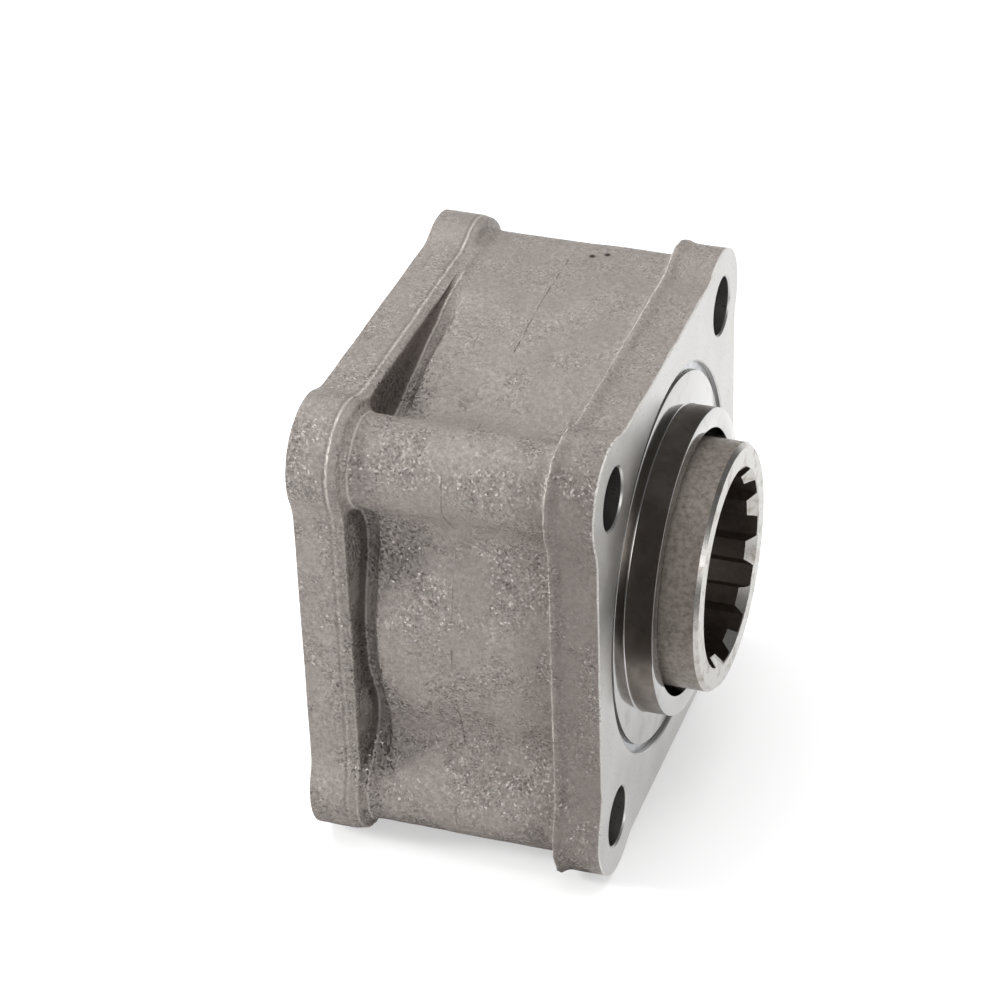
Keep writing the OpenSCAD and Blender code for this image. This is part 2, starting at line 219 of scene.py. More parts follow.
def scaled(tree, value, gain, start):
    """A value times its gain, counted from a start."""
    return compute(tree, "MULTIPLY_ADD", value, gain, start)


def bumped(tree, height, depth, normal=None):
    """Normal of a surface whose height pattern is this many millimetres deep."""
    inputs = {"Height": height, "Distance": depth * MM}
    if normal is not None:
        inputs["Normal"] = normal
    return add_node(tree, "ShaderNodeBump", inputs).outputs[0]


print("eight shared steps ready")

# %% [markdown]
# ## Shot-blasted cast iron
# The casting is sand-cast grey iron, cleaned by blasting it with steel shot. Each shot leaves a
# tiny dent that faces its own way, so the skin glitters with small lights and darks on a warm
# grey. A Voronoi texture gives every cell a random colour, and read as a direction it tilts each
# cell's normal like one dent. Another way would be a bump from the cells' distances, but that
# gives round pimples, and a dent's flat floor is what catches the light.

# %% Dents of the shot
DENT_SIZE = 0.42
MIDDLE_COLOUR = (0.5, 0.5, 0.5)


def vector_step(tree, operation, inputs):
    """One step on directions or places."""
    return add_node(tree, "ShaderNodeVectorMath", inputs, operation=operation)


def dented(tree, dents, share):
    """Normal of a surface that is tilted by the dents, as far as the share says."""
    lean = vector_step(tree, "SUBTRACT", {0: dents.outputs["Color"], 1: MIDDLE_COLOUR})
    lean = vector_step(tree, "SCALE", {0: lean.outputs[0], "Scale": share})
    facing = add_node(tree, "ShaderNodeNewGeometry").outputs["Normal"]
    leaning = vector_step(tree, "ADD", {0: facing, 1: lean.outputs[0]})
    return vector_step(tree, "NORMALIZE", {0: leaning.outputs[0]}).outputs[0]


print("dents are", DENT_SIZE, "mm wide")

# %% [markdown]
# ## Lines of the mould
# The halves of a sand mould never meet perfectly. Iron that runs between them leaves thin ridges
# round the casting, with a painted highlight on their crests and a painted shadow at their foot.
# Each line is a ridge at one place along the shaft. Noise breaks some of them up, and others fade
# with height or to one side. Lines that are drawn in the material need no extra mesh, and can be
# as thin as a hair.

# %% Lines of the mould
RIM_X = -56.2
RIM_FOOT_X = -57
GROOVE_LIP_X = -54.4
GROOVE_X = -53.9
GROOVE_SEAM_X = -52.8
BODY_SEAM_X = -33
FLASH_FOOT_X = -11.1
FLASH_X = -10.35


def ridge(tree, along, centre, width):
    """A thin raised line round the casting at this x: 1 on its crest and 0 beside it."""
    off = compute(tree, "ABSOLUTE", compute(tree, "SUBTRACT", along, centre * MM))
    return spread(tree, off, 0, width * MM, 1, 0)


def mould_lines(tree, place, split, along):
    """Ridges with a painted highlight, the broken body seam, and the painted shadow at the ridges'
    foot.
    """
    broken = spread(tree, speckle(tree, place, 5, 2, 0.5), 0.45, 0.6)
    high = spread(tree, split.outputs[2], 28 * MM, 38 * MM)
    far = spread(tree, split.outputs[1], 24 * MM, 18 * MM)
    rim = times(tree, ridge(tree, along, RIM_X, 0.45), scaled(tree, broken, 0.4, 0.6))
    rim = times(tree, rim, scaled(tree, high, 0.7, 0.3))
    lip = times(tree, ridge(tree, along, GROOVE_LIP_X, 0.4), scaled(tree, high, -0.6, 0.6))
    flash = times(tree, ridge(tree, along, FLASH_X, 0.45), scaled(tree, broken, -0.5, 0.95))
    # Painted highlight: the crests of these ridges are drawn lighter in the colour.
    lines = times(tree, ridge(tree, along, GROOVE_SEAM_X, 0.4), far)
    for line in (rim, lip, flash):
        lines = larger(tree, lines, line)
    seam = times(tree, ridge(tree, along, BODY_SEAM_X, 0.3), broken)
    # Painted shadow at the foot of the rim and flash ridges.
    ridge_shadow = larger(tree, ridge(tree, along, RIM_FOOT_X, 0.45),
                  ridge(tree, along, FLASH_FOOT_X, 0.4))
    return lines, seam, ridge_shadow


print("eight lines, the rearmost at", RIM_FOOT_X, "mm")

# %% [markdown]
# ## Colour of the casting
# The tree starts with a warm grey in soft blotches, and then lays one thin layer after another
# over it, like a painter: lighter metal with a painted glint on some dents, painted shade of pits
# in others, painted shade on the near side towards the front, shade in the groove, and a worn edge
# where the milling cutter has been. A list of shares and colours keeps the layers in order. The
# dents, with their painted glints and shade, are strong in patches, and more so on the near side,
# as the photograph shows them.

# %% Cast iron
DARK_SPOTS = ((-28.4, 37, 50), (-25.4, 38.5, 50))


def groove_shade(tree, split, along):
    """How much dirt and shade lies in the groove, between two columns and under the flange."""
    far_y = compute(tree, "ABSOLUTE", split.outputs[1])
    far_z = compute(tree, "ABSOLUTE", split.outputs[2])
    inner = spread(tree, larger(tree, far_y, far_z), 50.1 * MM, 49.2 * MM)
    middle = spread(tree, compute(tree, "MINIMUM", far_y, far_z), 34 * MM, 30 * MM)
    deep = times(tree, ridge(tree, along, GROOVE_X, 2.2), times(tree, inner, middle))
    return spread(tree, deep, 0.25, 0.6, 0, 0.75)


def spot_share(tree, place, spot):
    """A round spot 1 mm in radius with a soft rim."""
    centre = tuple(Vector(spot) * MM)
    away = vector_step(tree, "DISTANCE", {0: place, 1: centre}).outputs["Value"]
    return spread(tree, away, 1.0 * MM, 0.5 * MM)


def make_cast_iron():
    material, tree, shader, place = new_material("shot_blasted_cast_iron")
    split = add_node(tree, "ShaderNodeSeparateXYZ", {0: place})
    wobble = scaled(tree, speckle(tree, place, 6, 3, 0.6), 0.5 * MM, -0.25 * MM)
    along = compute(tree, "ADD", split.outputs[0], wobble)
    edge = spread(tree, along, -0.5 * MM, -0.25 * MM)
    near = spread(tree, split.outputs[1], 10 * MM, -30 * MM, 0.55, 1)
    patch = spread(tree, speckle(tree, place, 10, 2, 0.5), 0.42, 0.6, 0.5, 1.45)
    patch = times(tree, patch, near)
    lines, seam, ridge_shadow = mould_lines(tree, place, split, along)

    dents = add_node(tree, "ShaderNodeTexVoronoi", {
        "Vector": place, "Scale": per_metre(DENT_SIZE)})
    grain = speckle(tree, place, 1.1, 4, 0.65)
    lumps = speckle(tree, place, 3.2, 3, 0.5)
    normal = dented(tree, dents, compute(tree, "SUBTRACT", patch, edge))
    for height, depth in ((grain, 0.1), (lumps, 0.22), (lines, 0.25), (seam, 0.2)):
        normal = bumped(tree, height, depth, normal)
    tree.links.new(normal, shader.inputs["Normal"])

    chance = add_node(tree, "ShaderNodeSeparateColor", {0: dents.outputs["Color"]}).outputs[0]
    # The lighter dents are clean metal with a painted glint, and the darkest ones get painted
    # shade of pits. Both follow the patches, so they gather on the near side.
    bare_and_glint = times(tree, spread(tree, chance, 0.62, 0.85), patch)
    pit_shade = times(tree, spread(tree, chance, 0.14, 0.05), patch)
    # Painted shade: the near side gets darker towards the front flange.
    near_front_shade = times(tree, spread(tree, along, -22 * MM, -9 * MM, 0, 0.45),
                 spread(tree, split.outputs[1], -40 * MM, -48 * MM))
    blotch = spread(tree, speckle(tree, place, 11, 4, 0.6), 0.35, 0.68)
    tint = blend(tree, blotch, colour("#827b76"), colour("#8f8782"))
    tint = blend(tree, spread(tree, grain, 0.38, 0.60), colour("#79726e"), tint)
    layers = [(times(tree, bare_and_glint, 0.45), "#d2cbc5"), (times(tree, pit_shade, 0.5), "#48423e")]
    layers += [(spot_share(tree, place, spot), "#2b2725") for spot in DARK_SPOTS]
    # Painted shade on the near side towards the front, and painted shadow at the foot of the
    # ridges.
    layers += [(near_front_shade, "#5d5550"), (times(tree, ridge_shadow, 0.4), "#544c46"),
               (times(tree, seam, 0.4), "#544c46"), (groove_shade(tree, split, along), "#403630"),
               # Painted highlight on the ridges' crests.
               (times(tree, lines, 0.7), "#c6bfb8"), (edge, "#c9c6c2")]
    for share, code in layers:
        tint = blend(tree, share, tint, colour(code))
    tree.links.new(tint, shader.inputs["Base Color"])

    tree.links.new(scaled(tree, bare_and_glint, -0.22, 0.46), shader.inputs["Roughness"])
    metal = larger(tree, scaled(tree, bare_and_glint, 0.32, 0.08), times(tree, edge, 0.4))
    tree.links.new(metal, shader.inputs["Metallic"])
    return material


cast_iron = make_cast_iron()
print(cast_iron.name, "with", len(cast_iron.node_tree.nodes), "nodes")

# %% [markdown]
# ## Machined iron
# Where a cutter has been, the same iron is flat and bright, with the faint lines of the tool.
# Grey iron never takes a mirror polish: its graphite leaves pores, so the finish is satin.

# %% Machined iron
def make_machined_iron():
    material, tree, shader, place = new_material("milled_cast_iron")
    cloud = speckle(tree, place, 14, 3, 0.5)
    pores = speckle(tree, place, 0.7, 3, 0.6)
    stretch = add_node(tree, "ShaderNodeMapping", {"Vector": place, "Scale": (1, 1, 0.03)})
    lines = speckle(tree, stretch.outputs[0], 0.5, 2, 0.5)
    base = blend(tree, spread(tree, cloud, 0.35, 0.65), colour("#c0bebb"), colour("#ceccca"))
    base = blend(tree, spread(tree, pores, 0.60, 0.72), base, colour("#96928e"))
    tree.links.new(base, shader.inputs["Base Color"])
    tree.links.new(spread(tree, cloud, 0.3, 0.7, 0.3, 0.37), shader.inputs["Roughness"])
    normal = bumped(tree, lines, 0.02)
    normal = bumped(tree, pores, 0.014, normal)
    tree.links.new(normal, shader.inputs["Normal"])
    shader.inputs["Metallic"].default_value = 1.0
    return material


machined_iron = make_machined_iron()
print(machined_iron.name)

# %% [markdown]
# ## Steels
# The other metals are all steel, and differ in colour, gloss and marks. One function makes them:
# a colour, a stain colour with the width and share of its blotches, a roughness, and the spacing
# and depth of the lathe's rings, which run round the shaft axis. Metal that carries a film of oil
# or rust is less than fully metallic.

# %% Steels
def make_steel(name, base, stain, blotch, stained, roughness, ring_gap=0.0, ring_depth=0.0,
               metallic=1.0):
    material, tree, shader, place = new_material(name)
    cloud = speckle(tree, place, blotch, 5, 0.6, 0.4)
    fine = speckle(tree, place, 0.8, 3, 0.6)
    share = spread(tree, cloud, *stained)
    tint = blend(tree, share, colour(base), colour(stain))
    tree.links.new(tint, shader.inputs["Base Color"])
    gloss = scaled(tree, fine, 0.08, scaled(tree, share, 0.1, roughness))
    tree.links.new(gloss, shader.inputs["Roughness"])
    normal = bumped(tree, fine, 0.006)
    if ring_gap:
        split = add_node(tree, "ShaderNodeSeparateXYZ", {0: place})
        flat = add_node(tree, "ShaderNodeCombineXYZ", {1: split.outputs[1], 2: split.outputs[2]})
        radius = vector_step(tree, "LENGTH", {0: flat.outputs[0]}).outputs["Value"]
        along = compute(tree, "ADD", radius, split.outputs[0])
        track = add_node(tree, "ShaderNodeCombineXYZ", {0: along})
        rings = speckle(tree, track.outputs[0], ring_gap, 2, 0.5)
        normal = bumped(tree, rings, ring_depth, normal)
    tree.links.new(normal, shader.inputs["Normal"])
    shader.inputs["Metallic"].default_value = metallic
    return material


turned_steel = make_steel("turned_steel", "#b9b8b7", "#a3a19e", blotch=9, stained=(0.5, 0.75),
                          roughness=0.07, ring_gap=0.35, ring_depth=0.004)
oiled_steel = make_steel("oiled_turned_steel", "#8a837d", "#776f69", blotch=5,
                         stained=(0.4, 0.7), roughness=0.26, ring_gap=0.35, ring_depth=0.006)
hub_steel = make_steel("stained_hub_steel", "#8f8780", "#645b53", blotch=1.1,
                       stained=(0.4, 0.72), roughness=0.34, ring_gap=0.4, ring_depth=0.014,
                       metallic=0.3)
broached_steel = make_steel("broached_hub_steel", "#857b73", "#665d55", blotch=3,
                            stained=(0.4, 0.66), roughness=0.34, ring_gap=0.5, ring_depth=0.006)
faced_steel = make_steel("faced_hub_steel", "#bfbcb8", "#9a9188", blotch=2.5,
                         stained=(0.5, 0.7), roughness=0.22, ring_gap=0.3, ring_depth=0.005)
snap_steel = make_steel("bright_spring_steel", "#b4b7ba", "#8f9194", blotch=5,
                        stained=(0.4, 0.7), roughness=0.12, ring_gap=0.3, ring_depth=0.01)
bearing_steel = make_steel("bearing_steel", "#c4c4c4", "#a9a8a6", blotch=12,
                           stained=(0.5, 0.8), roughness=0.12, ring_gap=0.4, ring_depth=0.004)
spring_steel = make_steel("blued_spring_steel", "#5b5a5a", "#3f3d3c", blotch=6,
                          stained=(0.4, 0.7), roughness=0.3)
seal_steel = make_steel("pressed_seal_steel", "#9a9894", "#77736d", blotch=8,
                        stained=(0.4, 0.7), roughness=0.32)
cage_steel = make_steel("pressed_cage_steel", "#a8a49a", "#8a857a", blotch=6,
                        stained=(0.4, 0.7), roughness=0.34)
print("ten steels")

# %% [markdown]
# ## Nitrile rubber
# The seal lip and the O-ring are black moulded nitrile rubber: nearly black, soft in its gloss,
# and slightly greasy.

# %% Nitrile rubber
def make_rubber():
    material, tree, shader, place = new_material("moulded_nitrile_rubber")
    film = speckle(tree, place, 4, 3, 0.5)
    tint = blend(tree, film, colour("#1b1b1c"), colour("#29292a"))
    tree.links.new(tint, shader.inputs["Base Color"])
    tree.links.new(spread(tree, film, 0.3, 0.7, 0.4, 0.6), shader.inputs["Roughness"])
    tree.links.new(bumped(tree, speckle(tree, place, 0.5), 0.01), shader.inputs["Normal"])
    shader.inputs["IOR"].default_value = 1.52
    return material


rubber = make_rubber()
print(rubber.name)

# %% [markdown]
# ## Meshes
# A bmesh is Blender's mesh in the hands of a script. The helpers here turn a half section round
# the shaft axis, pull an outline along it, break sharp edges with a small bevel, cut one piece
# with another, and make the finished mesh an object that is smooth everywhere but at its real
# edges.

# %% Mesh helpers
def finished(name, bm, material, sharp=35):
    """Make an object of a bmesh, smooth except where it bends by more than this angle."""
    bmesh.ops.remove_doubles(bm, verts=bm.verts, dist=0.0005 * MM)
    bmesh.ops.recalc_face_normals(bm, faces=bm.faces)
    mesh = bpy.data.meshes.new(name)
    bm.to_mesh(mesh)
    bm.free()
    mesh.materials.append(material)
    mesh.shade_smooth()
    mesh.set_sharp_from_angle(angle=math.radians(sharp))
    piece = bpy.data.objects.new(name, mesh)
    bpy.context.scene.collection.objects.link(piece)
    return piece


def turned(bm, section, steps=240):
    """Spin a closed half section of (radius, x) points once round the shaft axis."""
    ring = [bm.verts.new((x * MM, 0, radius * MM)) for radius, x in section]
    edges = [bm.edges.new((ring[i - 1], ring[i])) for i in range(len(ring))]
    bmesh.ops.spin(bm, geom=ring + edges, cent=(0, 0, 0), axis=(1, 0, 0),
                   angle=math.tau, steps=steps, use_merge=True)
    bmesh.ops.remove_doubles(bm, verts=bm.verts, dist=0.0005 * MM)
    bmesh.ops.recalc_face_normals(bm, faces=bm.faces)


def pull(bm, outline, x_from, x_to):
    """Pull a closed outline of (y, z) points along the shaft axis into a bar."""
    ring = [bm.verts.new((x_from * MM, y * MM, z * MM)) for y, z in outline]
    bar = bmesh.ops.extrude_face_region(bm, geom=[bm.faces.new(ring)])["geom"]
    verts = [item for item in bar if isinstance(item, bmesh.types.BMVert)]
    bmesh.ops.translate(bm, verts=verts, vec=((x_to - x_from) * MM, 0, 0))


def soften(bm, width, angle=30, segments=2):
    """Bevel every edge that bends by more than this angle."""
    bm.normal_update()
    sharp = [edge for edge in bm.edges
             if len(edge.link_faces) == 2 and edge.calc_face_angle(0) > math.radians(angle)]
    bmesh.ops.bevel(bm, geom=sharp, offset=width * MM, offset_type="OFFSET", segments=segments,
                    profile=0.5, affect="EDGES", material=-1, clamp_overlap=True)


def bake(piece):
    """Turn a piece's modifiers into plain mesh."""
    graph = bpy.context.evaluated_depsgraph_get()
    mesh = bpy.data.meshes.new_from_object(piece.evaluated_get(graph))
    piece.modifiers.clear()
    piece.data = mesh


def cut(piece, cutters):
    """Take the cutters out of a piece one after another, then delete them."""
    for cutter in cutters:
        step = piece.modifiers.new("cut", "BOOLEAN")
        step.object = cutter
        step.solver = "MANIFOLD"
    bake(piece)
    for cutter in cutters:
        bpy.data.objects.remove(cutter)


def dress(piece, body, slot, *nodes):
    """Let a piece stand for CAD nodes and ride on their body; the slot is not used."""
    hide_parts(*nodes)
    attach(piece, body)
    print(piece.name, len(piece.data.polygons), "faces")


print("mesh helpers ready")

# %% [markdown]
# ## The casting
# A sand casting has no sharp edge anywhere, because sand can't hold one, and its surfaces wander
# a little. The CAD solid is crisp, so its skin is made again: a copy has its holes plugged, its
# two ends pushed out, and goes through a voxel remesh, which turns it into one even net of small
# squares. A small ring of iron turns the groove's front wall into a slope before that. The remesh
# joins it to the rest without a seam, which is why it is used here instead of a Boolean.

# %% Casting skin
END_EXTRA = 2
GROOVE_SLOPE = [(43.2, -52.8), (47.9, -48.9), (43.2, -48.9)]


def plug(bm, radius, x_from, x_to, y=0, z=0):
    """Fill a hole with a plain bar along X."""
    place = (Matrix.Translation(Vector(((x_from + x_to) / 2, y, z)) * MM)
             @ Matrix.Rotation(math.pi / 2, 4, "Y"))
    bmesh.ops.create_cone(bm, cap_ends=True, segments=96, radius1=radius * MM,
                          radius2=radius * MM, depth=(x_to - x_from) * MM, matrix=place)


def corners():
    """The four bolt hole centres."""
    return [(y, z) for y in (-CORNER, CORNER) for z in (-CORNER, CORNER)]


def casting_skin():
    bm = bmesh.new()
    bm.from_mesh(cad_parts["housing"].data)
    bmesh.ops.remove_doubles(bm, verts=bm.verts, dist=0.001 * MM)
    for vert in bm.verts:
        if vert.co.x > -0.5 * MM:
            vert.co.x += END_EXTRA * MM
        if vert.co.x < (REAR + 0.5) * MM:
            vert.co.x -= END_EXTRA * MM
    turned(bm, GROOVE_SLOPE)
    plug_start = REAR - END_EXTRA + 0.5
    plug_end = END_EXTRA - 0.5
    plug(bm, RECESS_R + 1.8, -9, plug_end)
    plug(bm, REAR_OPENING_R + 1, plug_start, plug_end)
    for y, z in corners():
        plug(bm, BOLT_R + 1.5, plug_start, plug_end, y, z)
    return bm


casting = finished("cast_housing", casting_skin(), cast_iron)
remesh = casting.modifiers.new("skin", "REMESH")
remesh.mode = "VOXEL"
remesh.voxel_size = 0.66 * MM
bake(casting)
print("skin:", len(casting.data.polygons), "faces")

# %% [markdown]
# ## Smoothing the skin
# Smoothing the even net rounds every edge and fills every inner corner, as the sand does. Then two
# sizes of noise move the skin by about a quarter of a millimetre. The noise is shifted inwards, so
# that the dressed part does not grow past the solids that it stands for.

# %% Smooth and roughen the skin
def weather(mesh, rounds, wander):
    """Round the skin off, then let it wander inwards by up to this many millimetres."""
    bm = bmesh.new()
    bm.from_mesh(mesh)
    for _ in range(rounds):
        bmesh.ops.smooth_vert(bm, verts=bm.verts, factor=0.5, use_axis_x=True,
                              use_axis_y=True, use_axis_z=True)
    bm.normal_update()
    for vert in bm.verts:
        lift = noise.noise(vert.co * per_metre(11)) + 0.5 * noise.noise(vert.co * per_metre(4))
        vert.co += vert.normal * (lift - 1) / 2 * wander * MM
    bm.to_mesh(mesh)
    bm.free()


weather(casting.data, 3, 0.28)
print("skin smoothed")

# %% [markdown]
# ## The end of the groove
# The groove beside the rear flange runs out on the top: it gets shallower and shallower until the
# flange and the body are level. A thin wedge cuts that last part, because smoothing has filled it.

# %% Groove end
WEDGE_OUTLINE = [(-8, 46.8), (2, 48.3), (20, 49.9), (27, 50.7), (27, 53), (-8, 53)]
WEDGE_START = REAR + 10.9
WEDGE_WIDTH = 1.9


def groove_end():
    """A wedge as wide as the groove's foot, with its bottom rising to the flange's top."""
    bm = bmesh.new()
    pull(bm, WEDGE_OUTLINE, WEDGE_START, WEDGE_START + WEDGE_WIDTH)
    return finished("groove_end", bm, cast_iron)


cut(casting, [groove_end()])
print("groove run out")

# %% [markdown]
# ## Machining the casting
# The real casting goes to a milling machine and a lathe next, so the mesh does too: Booleans take
# off both ends, bore the middle and drill the bolt holes. The cuts leave crisp edges in a round
# skin, which is what tells the eye that a casting has been machined.

# %% Machining
def end_blocks():
    """Two blocks that cover all beyond the finished faces."""
    bm = bmesh.new()
    for middle in (50, REAR - 50):
        bmesh.ops.create_cube(bm, size=100 * MM, matrix=Matrix.Translation((middle * MM, 0, 0))
                              @ Matrix.Diagonal((1, 1.5, 1.5, 1)))
    return finished("end_blocks", bm, machined_iron)


def bore_tool():
    """The shape of all that the lathe takes out of the middle."""
    ring_low = reach("pilot_ring")[0]
    snap_low, snap_high, snap_r = reach("snap_ring")
    clip_low, clip_high, _ = reach("bore_circlip")
    snap_top, snap_foot = snap_high + CLIP_PLAY, snap_low - CLIP_PLAY
    clip_top, clip_foot = clip_high + CLIP_PLAY, clip_low - CLIP_PLAY
    seat = -5.6
    shoulder = reach("front_outer_race")[0]
    rear_step = REAR + 5
    snap_groove_r = snap_r + 0.1
    clip_groove_r = REAR_BORE_R + 1.45
    print("pilot ring starts at", round(ring_low, 2), "and the shoulder is at", round(shoulder, 2))
    section = [
        (0, 1), (RECESS_R + 1.3, 1), (RECESS_R, -0.3), (RECESS_R, snap_top),
        (snap_groove_r, snap_top), (snap_groove_r, snap_foot), (RECESS_R, snap_foot),
        (RECESS_R, seat), (FRONT_BORE_R, seat), (FRONT_BORE_R, shoulder),
        (REAR_BORE_R, shoulder), (REAR_BORE_R, clip_top), (clip_groove_r, clip_top),
        (clip_groove_r, clip_foot), (REAR_BORE_R, clip_foot), (REAR_BORE_R, rear_step + 0.3),
        (REAR_BORE_R + 0.3, rear_step), (REAR_OPENING_R, rear_step),
        (REAR_OPENING_R, REAR + 0.3), (REAR_OPENING_R + 1.3, REAR - 1), (0, REAR - 1)]
    bm = bmesh.new()
    turned(bm, section)
    return finished("bore_tool", bm, machined_iron)


def drills():
    """Four drills with a break for the edge at both faces."""
    bm = bmesh.new()
    section = [(0, 1), (BOLT_R + 1.4, 1), (BOLT_R, -0.4), (BOLT_R, REAR + 0.4),
               (BOLT_R + 1.4, REAR - 1), (0, REAR - 1)]
    for y, z in corners():
        before = set(bm.verts)
        turned(bm, section, 64)
        new = [vert for vert in bm.verts if vert not in before]
        bmesh.ops.translate(bm, verts=new, vec=Vector((0, y, z)) * MM)
    return finished("drills", bm, machined_iron)


cut(casting, [end_blocks(), bore_tool(), drills()])


def mark_machined(piece):
    """Give the milled, bored and drilled faces their own finish."""
    piece.data.materials.clear()
    for finish in (cast_iron, machined_iron):
        piece.data.materials.append(finish)
    count = 0
    for face in piece.data.polygons:
        x, y, z = face.center / MM
        flat = abs(face.normal.x) > 0.99 and (x > -0.05 or x < REAR + 0.05)
        inward = face.normal.y * y + face.normal.z * z < 0.1
        bored = inward and math.hypot(y, z) < RECESS_R + 1.2
        drilled = math.hypot(abs(y) - CORNER, abs(z) - CORNER) < BOLT_R + 0.6
        face.material_index = 1 if flat or bored or drilled else 0
        count += face.material_index
    print(count, "machined faces")


mark_machined(casting)
casting.data.shade_smooth()
casting.data.set_sharp_from_angle(angle=math.radians(38))
dress(casting, "housing_body", "cast_iron", "housing")

# %% [markdown]
# ## The pilot ring
# The pump is centred by this ring: a flat face, and a spigot that stands proud of it. It was
# turned in a lathe, so it is made like that here: its half section is spun round the axis, and
# each edge gets the small round that a turner leaves. The side of the spigot wears an oilier
# finish than the face, which was wiped clean.

# %% Pilot ring
HUB_HOLE_R = 29.1
SPIGOT_R = 33.4
SPIGOT_TOP = 5.8
FACE_R = 40.6
FACE_X = -0.3
RIM_R = 42.45
SLEEVE_R = 39.95
O_RING_GROOVE_R = 38.47
SEAL_R = 36
RING_FOOT = -10.3


def make_pilot_ring():
    section = [
        (HUB_HOLE_R, SPIGOT_TOP), (SPIGOT_R, SPIGOT_TOP), (SPIGOT_R, FACE_X + 0.25),
        (SPIGOT_R + 0.25, FACE_X), (FACE_R, FACE_X), (FACE_R, -3), (RIM_R, -3),
        (RIM_R, -5.5), (SLEEVE_R, -5.5), (SLEEVE_R, -6.9), (O_RING_GROOVE_R, -6.9),
        (O_RING_GROOVE_R, -8.9), (SLEEVE_R, -8.9), (SLEEVE_R, RING_FOOT), (SEAL_R, RING_FOOT),
        (SEAL_R, -2.3), (HUB_HOLE_R, -2.3)]
    bm = bmesh.new()
    turned(bm, section)
    soften(bm, 0.3)
    ring = finished("turned_pilot_ring", bm, turned_steel)
    ring.data.materials.append(oiled_steel)
    for face in ring.data.polygons:
        outer = math.hypot(face.center.y, face.center.z) > 33 * MM
        if face.center.x > -0.2 * MM and outer and abs(face.normal.x) < 0.3:
            face.material_index = 1
    return ring


dress(make_pilot_ring(), "housing_body", "turned_steel", "pilot_ring")

# %% [markdown]
# ## The splined hub
# The pump's splined shaft slides into this hub and takes its drive from twelve teeth. Each flank
# is an involute, the curve of a string unwound from a circle. There is no operator for that, so
# the outline of one tooth space is worked out, closed round the bore, and pulled along the axis
# into a broach, which a Boolean then takes out of a turned blank.

# %% Splined hub
TEETH = 12
MODULE = 3.5
PRESSURE = math.radians(30)
SPACE_R = MODULE * TEETH / 2 + 0.8
TIP_R = SPACE_R - 1.9
FIRST_SPACE = math.radians(-38)


def involute(angle):
    """How far the unwound string has turned where the flank leans by this angle."""
    return math.tan(angle) - angle


def half_angle(radius):
    """Half the angle that a tooth space takes at this radius."""
    base = MODULE * TEETH / 2 * math.cos(PRESSURE)
    return math.pi / 2 / TEETH + involute(PRESSURE) - involute(math.acos(base / radius))


def broach_outline():
    """The bore's outline: for each space one flank out and the other back."""
    radii = [TIP_R + (SPACE_R - TIP_R) * step / 5 for step in range(6)]
    points = []
    for tooth in range(TEETH):
        middle = FIRST_SPACE + tooth * math.tau / TEETH
        flanks = [(radius, middle - half_angle(radius)) for radius in radii]
        flanks += [(SPACE_R, middle + half_angle(SPACE_R) * share / 2) for share in (-1, 0, 1)]
        flanks += [(radius, middle + half_angle(radius)) for radius in reversed(radii)]
        tip = [middle + half_angle(TIP_R) + (math.tau / TEETH - 2 * half_angle(TIP_R)) * step / 6
               for step in range(1, 6)]
        points += flanks + [(TIP_R, angle) for angle in tip]
    return [(radius * math.cos(angle), radius * math.sin(angle)) for radius, angle in points]


def broach(x_from, x_to):
    """A bar with the spline's outline."""
    bm = bmesh.new()
    pull(bm, broach_outline(), x_from, x_to)
    return finished("broach", bm, hub_steel)


def mouth_tools(x_low, x_high):
    """Two cones that chamfer the ends of the teeth."""
    wide = SPACE_R + 0.2
    deep = wide - TIP_R
    bm = bmesh.new()
    for mouth, way in ((x_high, 1), (x_low, -1)):
        outside = mouth + way
        bottom = mouth - way * (deep + 1)
        turned(bm, [(0, outside), (wide + 1, outside), (TIP_R - 1, bottom), (0, bottom)])
    return finished("mouth_tools", bm, hub_steel)


def make_hub():
    low, high, radius = reach("output_hub")
    groove_r = 23.7
    seat = -10.8
    break_width = 0.9
    clip_low, clip_high, _ = reach("hub_circlip")
    clip_foot, clip_top = clip_low - CLIP_PLAY, clip_high + CLIP_PLAY
    section = [
        (0, low), (JOURNAL_R - 0.5, low), (JOURNAL_R, low + 0.5), (JOURNAL_R, clip_foot),
        (groove_r, clip_foot), (groove_r, clip_top), (JOURNAL_R, clip_top), (JOURNAL_R, seat),
        (radius, seat), (radius, high - break_width), (radius - break_width, high), (0, high)]
    bm = bmesh.new()
    turned(bm, section)
    hub = finished("splined_hub", bm, hub_steel)
    cut(hub, [broach(low - 1, high + 1), mouth_tools(low, high)])
    hub.data.shade_smooth()
    hub.data.set_sharp_from_angle(angle=math.radians(28))
    hub.data.materials.clear()
    for finish in (hub_steel, faced_steel, broached_steel):
        hub.data.materials.append(finish)
    for face in hub.data.polygons:
        sloped = face.normal.x > 0.3 and face.center.x > (high - 4) * MM
        inside = math.hypot(face.center.y, face.center.z) < (SPACE_R + 0.1) * MM
        face.material_index = 1 if sloped else 2 if inside else 0
    return hub


hub = make_hub()
dress(hub, "hub_body", "ground_steel", "output_hub")

# %% [markdown]
# ## Bearings
# Behind the seal sit two deep-groove ball bearings. Their races are turned rings with a ball
# track, a little wider than the ball. A shoulder stops short of the circle of ball centres by two
# thirds of a ball's radius. The races are spun from their sections, and the balls are UV spheres
# set round a circle.

